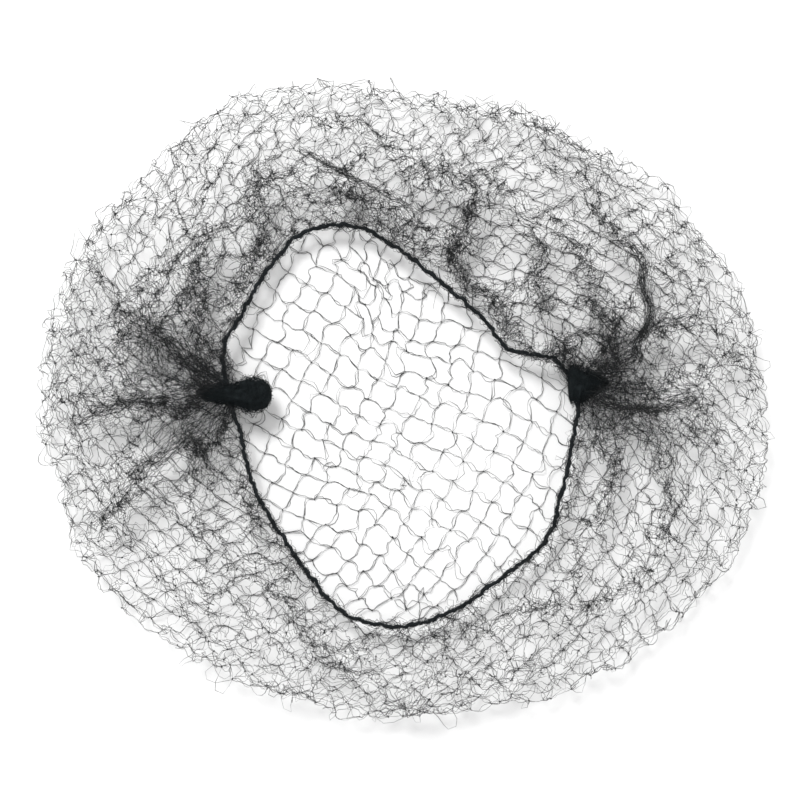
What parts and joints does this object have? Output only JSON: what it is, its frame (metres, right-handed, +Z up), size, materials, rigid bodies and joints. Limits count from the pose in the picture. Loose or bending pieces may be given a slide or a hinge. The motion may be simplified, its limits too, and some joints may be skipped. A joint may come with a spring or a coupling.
{
  "type": "hairnet",
  "caption": "Fine knotted mesh hairnet with an elastic edge and two bunched ends, lying flat with its opening up.",
  "frame": {"origin": "under the middle of the laid net, on the surface that the crown lies on", "axes": "+X along the longer way, from the left bunch to the right bunch; +Y towards the back edge, which is the picture's top; +Z up, out of the opening"},
  "size_m": [0.2292, 0.2016, 0.0181],
  "materials": {
    "netting": "fine crimped black nylon filaments with a slight sheen",
    "elastic": "matte black wrapped elastic cord",
    "bunched_net": "dense black bunched netting, matte"
  },
  "bodies": {
    "root": {"net_bag": "netting", "elastic_edge": "elastic", "gather_left": "bunched_net", "gather_right": "bunched_net"}
  },
  "joints": []
}
